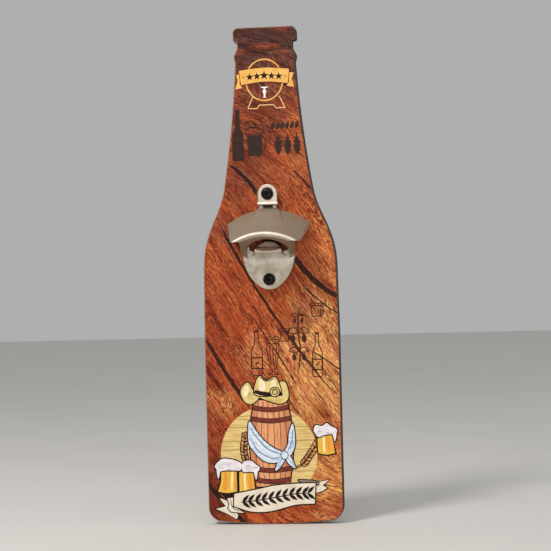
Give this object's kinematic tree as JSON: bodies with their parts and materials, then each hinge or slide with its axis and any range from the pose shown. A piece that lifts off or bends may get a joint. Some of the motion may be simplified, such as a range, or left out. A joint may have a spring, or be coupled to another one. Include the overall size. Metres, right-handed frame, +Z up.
{
  "type": "wall bottle opener",
  "caption": "Bottle-shaped wall plaque with a printed film face, carrying a cast hooded cap lifter on cross-recess screws and hung from a keyhole plate let into its back.",
  "frame": {"origin": "centre of the round entry of the keyhole plate, on the wall plane at the plaque's back", "axes": "+X to the right seen from the front, +Y into the wall, +Z up; the printed face and the opener face -Y"},
  "size_m": [0.104, 0.046, 0.381],
  "materials": {
    "fibreboard": "sawn edge, stained dark, with a light bevel round the face",
    "printed_film": null,
    "cast_metal": "satin nickel plating on a casting, edges polished",
    "black_screw": "black oxide",
    "zinc_plate": "bright zinc plating"
  },
  "bodies": {
    "root": {"board": "fibreboard", "face_print": "printed_film", "opener_casting": "cast_metal", "upper_screw": "black_screw", "lower_screw": "black_screw", "keyhole_plate": "zinc_plate", "keyhole_screw_upper": "zinc_plate", "keyhole_screw_lower": "zinc_plate"}
  },
  "joints": []
}
